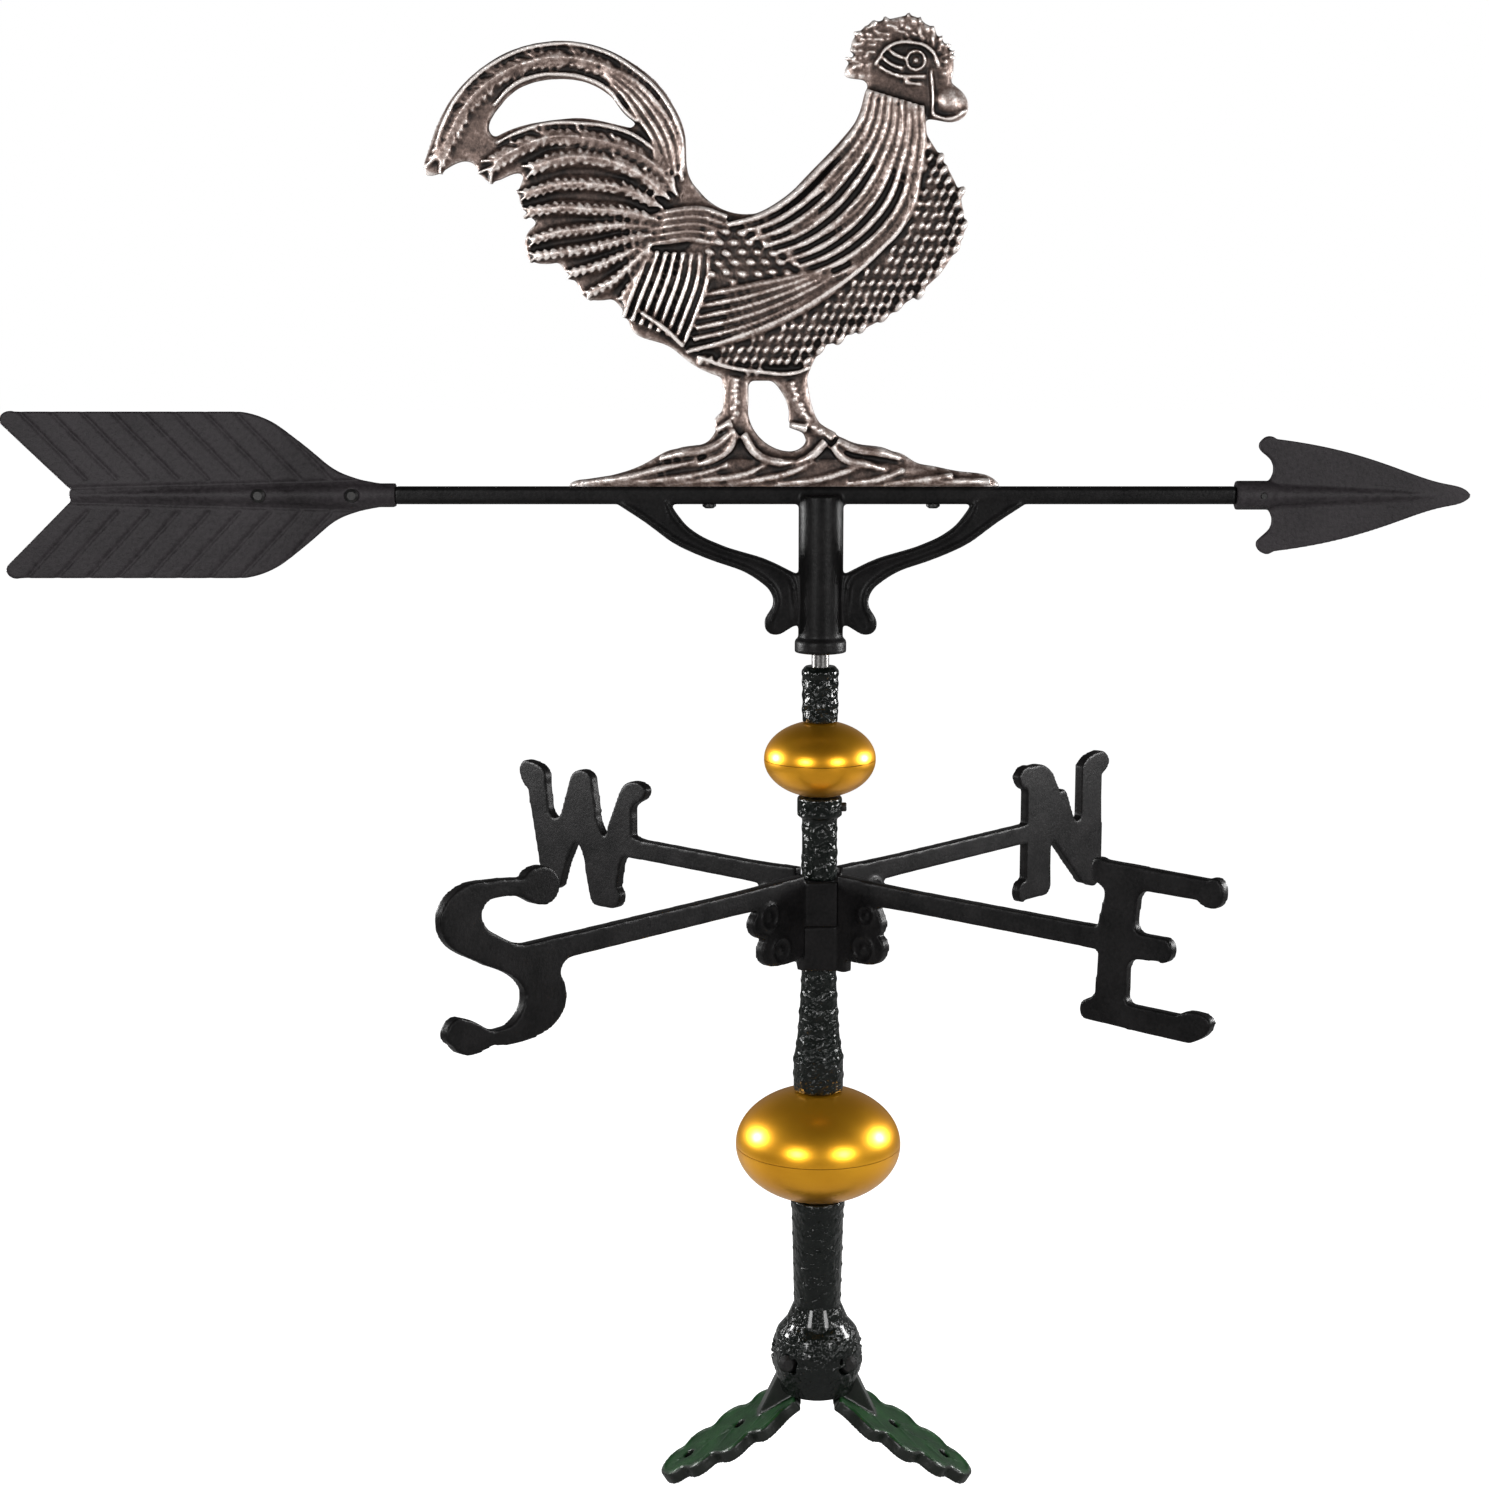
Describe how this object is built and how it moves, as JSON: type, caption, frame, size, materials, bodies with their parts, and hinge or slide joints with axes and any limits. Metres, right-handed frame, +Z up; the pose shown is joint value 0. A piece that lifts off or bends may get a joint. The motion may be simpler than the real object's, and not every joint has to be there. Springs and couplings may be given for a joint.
{
  "type": "weather vane",
  "caption": "Roof-mounted weather vane: a flat cast rooster on a turning arrow, above compass arms, globes and an adjustable ridge mount.",
  "frame": {"origin": "the point on the mast axis where the undersides of the two splayed legs meet, which is the ridge line of the roof", "axes": "+Z up the mast; the arrow points along +X at rest; the roof ridge runs along Y"},
  "size_m": [0.7865, 0.4095, 0.8104],
  "materials": {
    "antique_iron": "cast aluminium in an antique dark iron finish, rubbed bright on the raised feathers",
    "black_enamel": "cast aluminium, satin black enamel",
    "charcoal_enamel": "cast aluminium, fine-textured charcoal enamel",
    "hammered_black": "cast aluminium, glossy black hammered enamel",
    "gold_paint": "spun aluminium, satin gold paint",
    "leaf_green": "cast aluminium, dark green enamel with black rims",
    "steel": "plain turned steel",
    "blackened_steel": "steel fasteners, blackened",
    "nylon": "turned nylon"
  },
  "bodies": {
    "vane": {"rooster": "antique_iron", "rooster_screws": "blackened_steel", "arrow_frame": "black_enamel", "tail_fletching": "charcoal_enamel", "tail_screws": "blackened_steel", "arrowhead": "charcoal_enamel", "arrowhead_pin": "blackened_steel", "pivot_seat": "nylon", "lower_bush": "nylon"},
    "mast": {"mast_rod": "steel", "thrust_ball": "steel", "upper_sleeve": "hammered_black", "small_globe_upper": "gold_paint", "small_globe_lower": "gold_paint", "middle_sleeve": "hammered_black", "sleeve_set_screw": "blackened_steel", "north_south_arm": "black_enamel", "east_west_arm": "black_enamel", "upper_hub_screw": "blackened_steel", "lower_hub_screw": "blackened_steel", "lower_sleeve": "hammered_black", "large_globe_upper": "gold_paint", "large_globe_lower": "gold_paint", "base_post": "hammered_black", "post_set_screw": "blackened_steel", "pivot_bolts": "blackened_steel", "pivot_nuts": "blackened_steel"},
    "left_leg": {"left_leg": "leaf_green"},
    "right_leg": {"right_leg": "leaf_green"}
  },
  "joints": [
    {"name": "vane_turn", "type": "hinge", "parent": "mast", "child": "vane", "pos_m": [0, 0, 0.4234], "axis": [0, 0, 1], "continuous": true},
    {"name": "left_leg_pitch", "type": "hinge", "parent": "mast", "child": "left_leg", "pos_m": [-0.017, 0, 0.024], "axis": [0, -1, 0], "range_deg": [-32, 13]},
    {"name": "right_leg_pitch", "type": "hinge", "parent": "mast", "child": "right_leg", "pos_m": [0.017, 0, 0.024], "axis": [0, 1, 0], "range_deg": [-32, 13]}
  ]
}
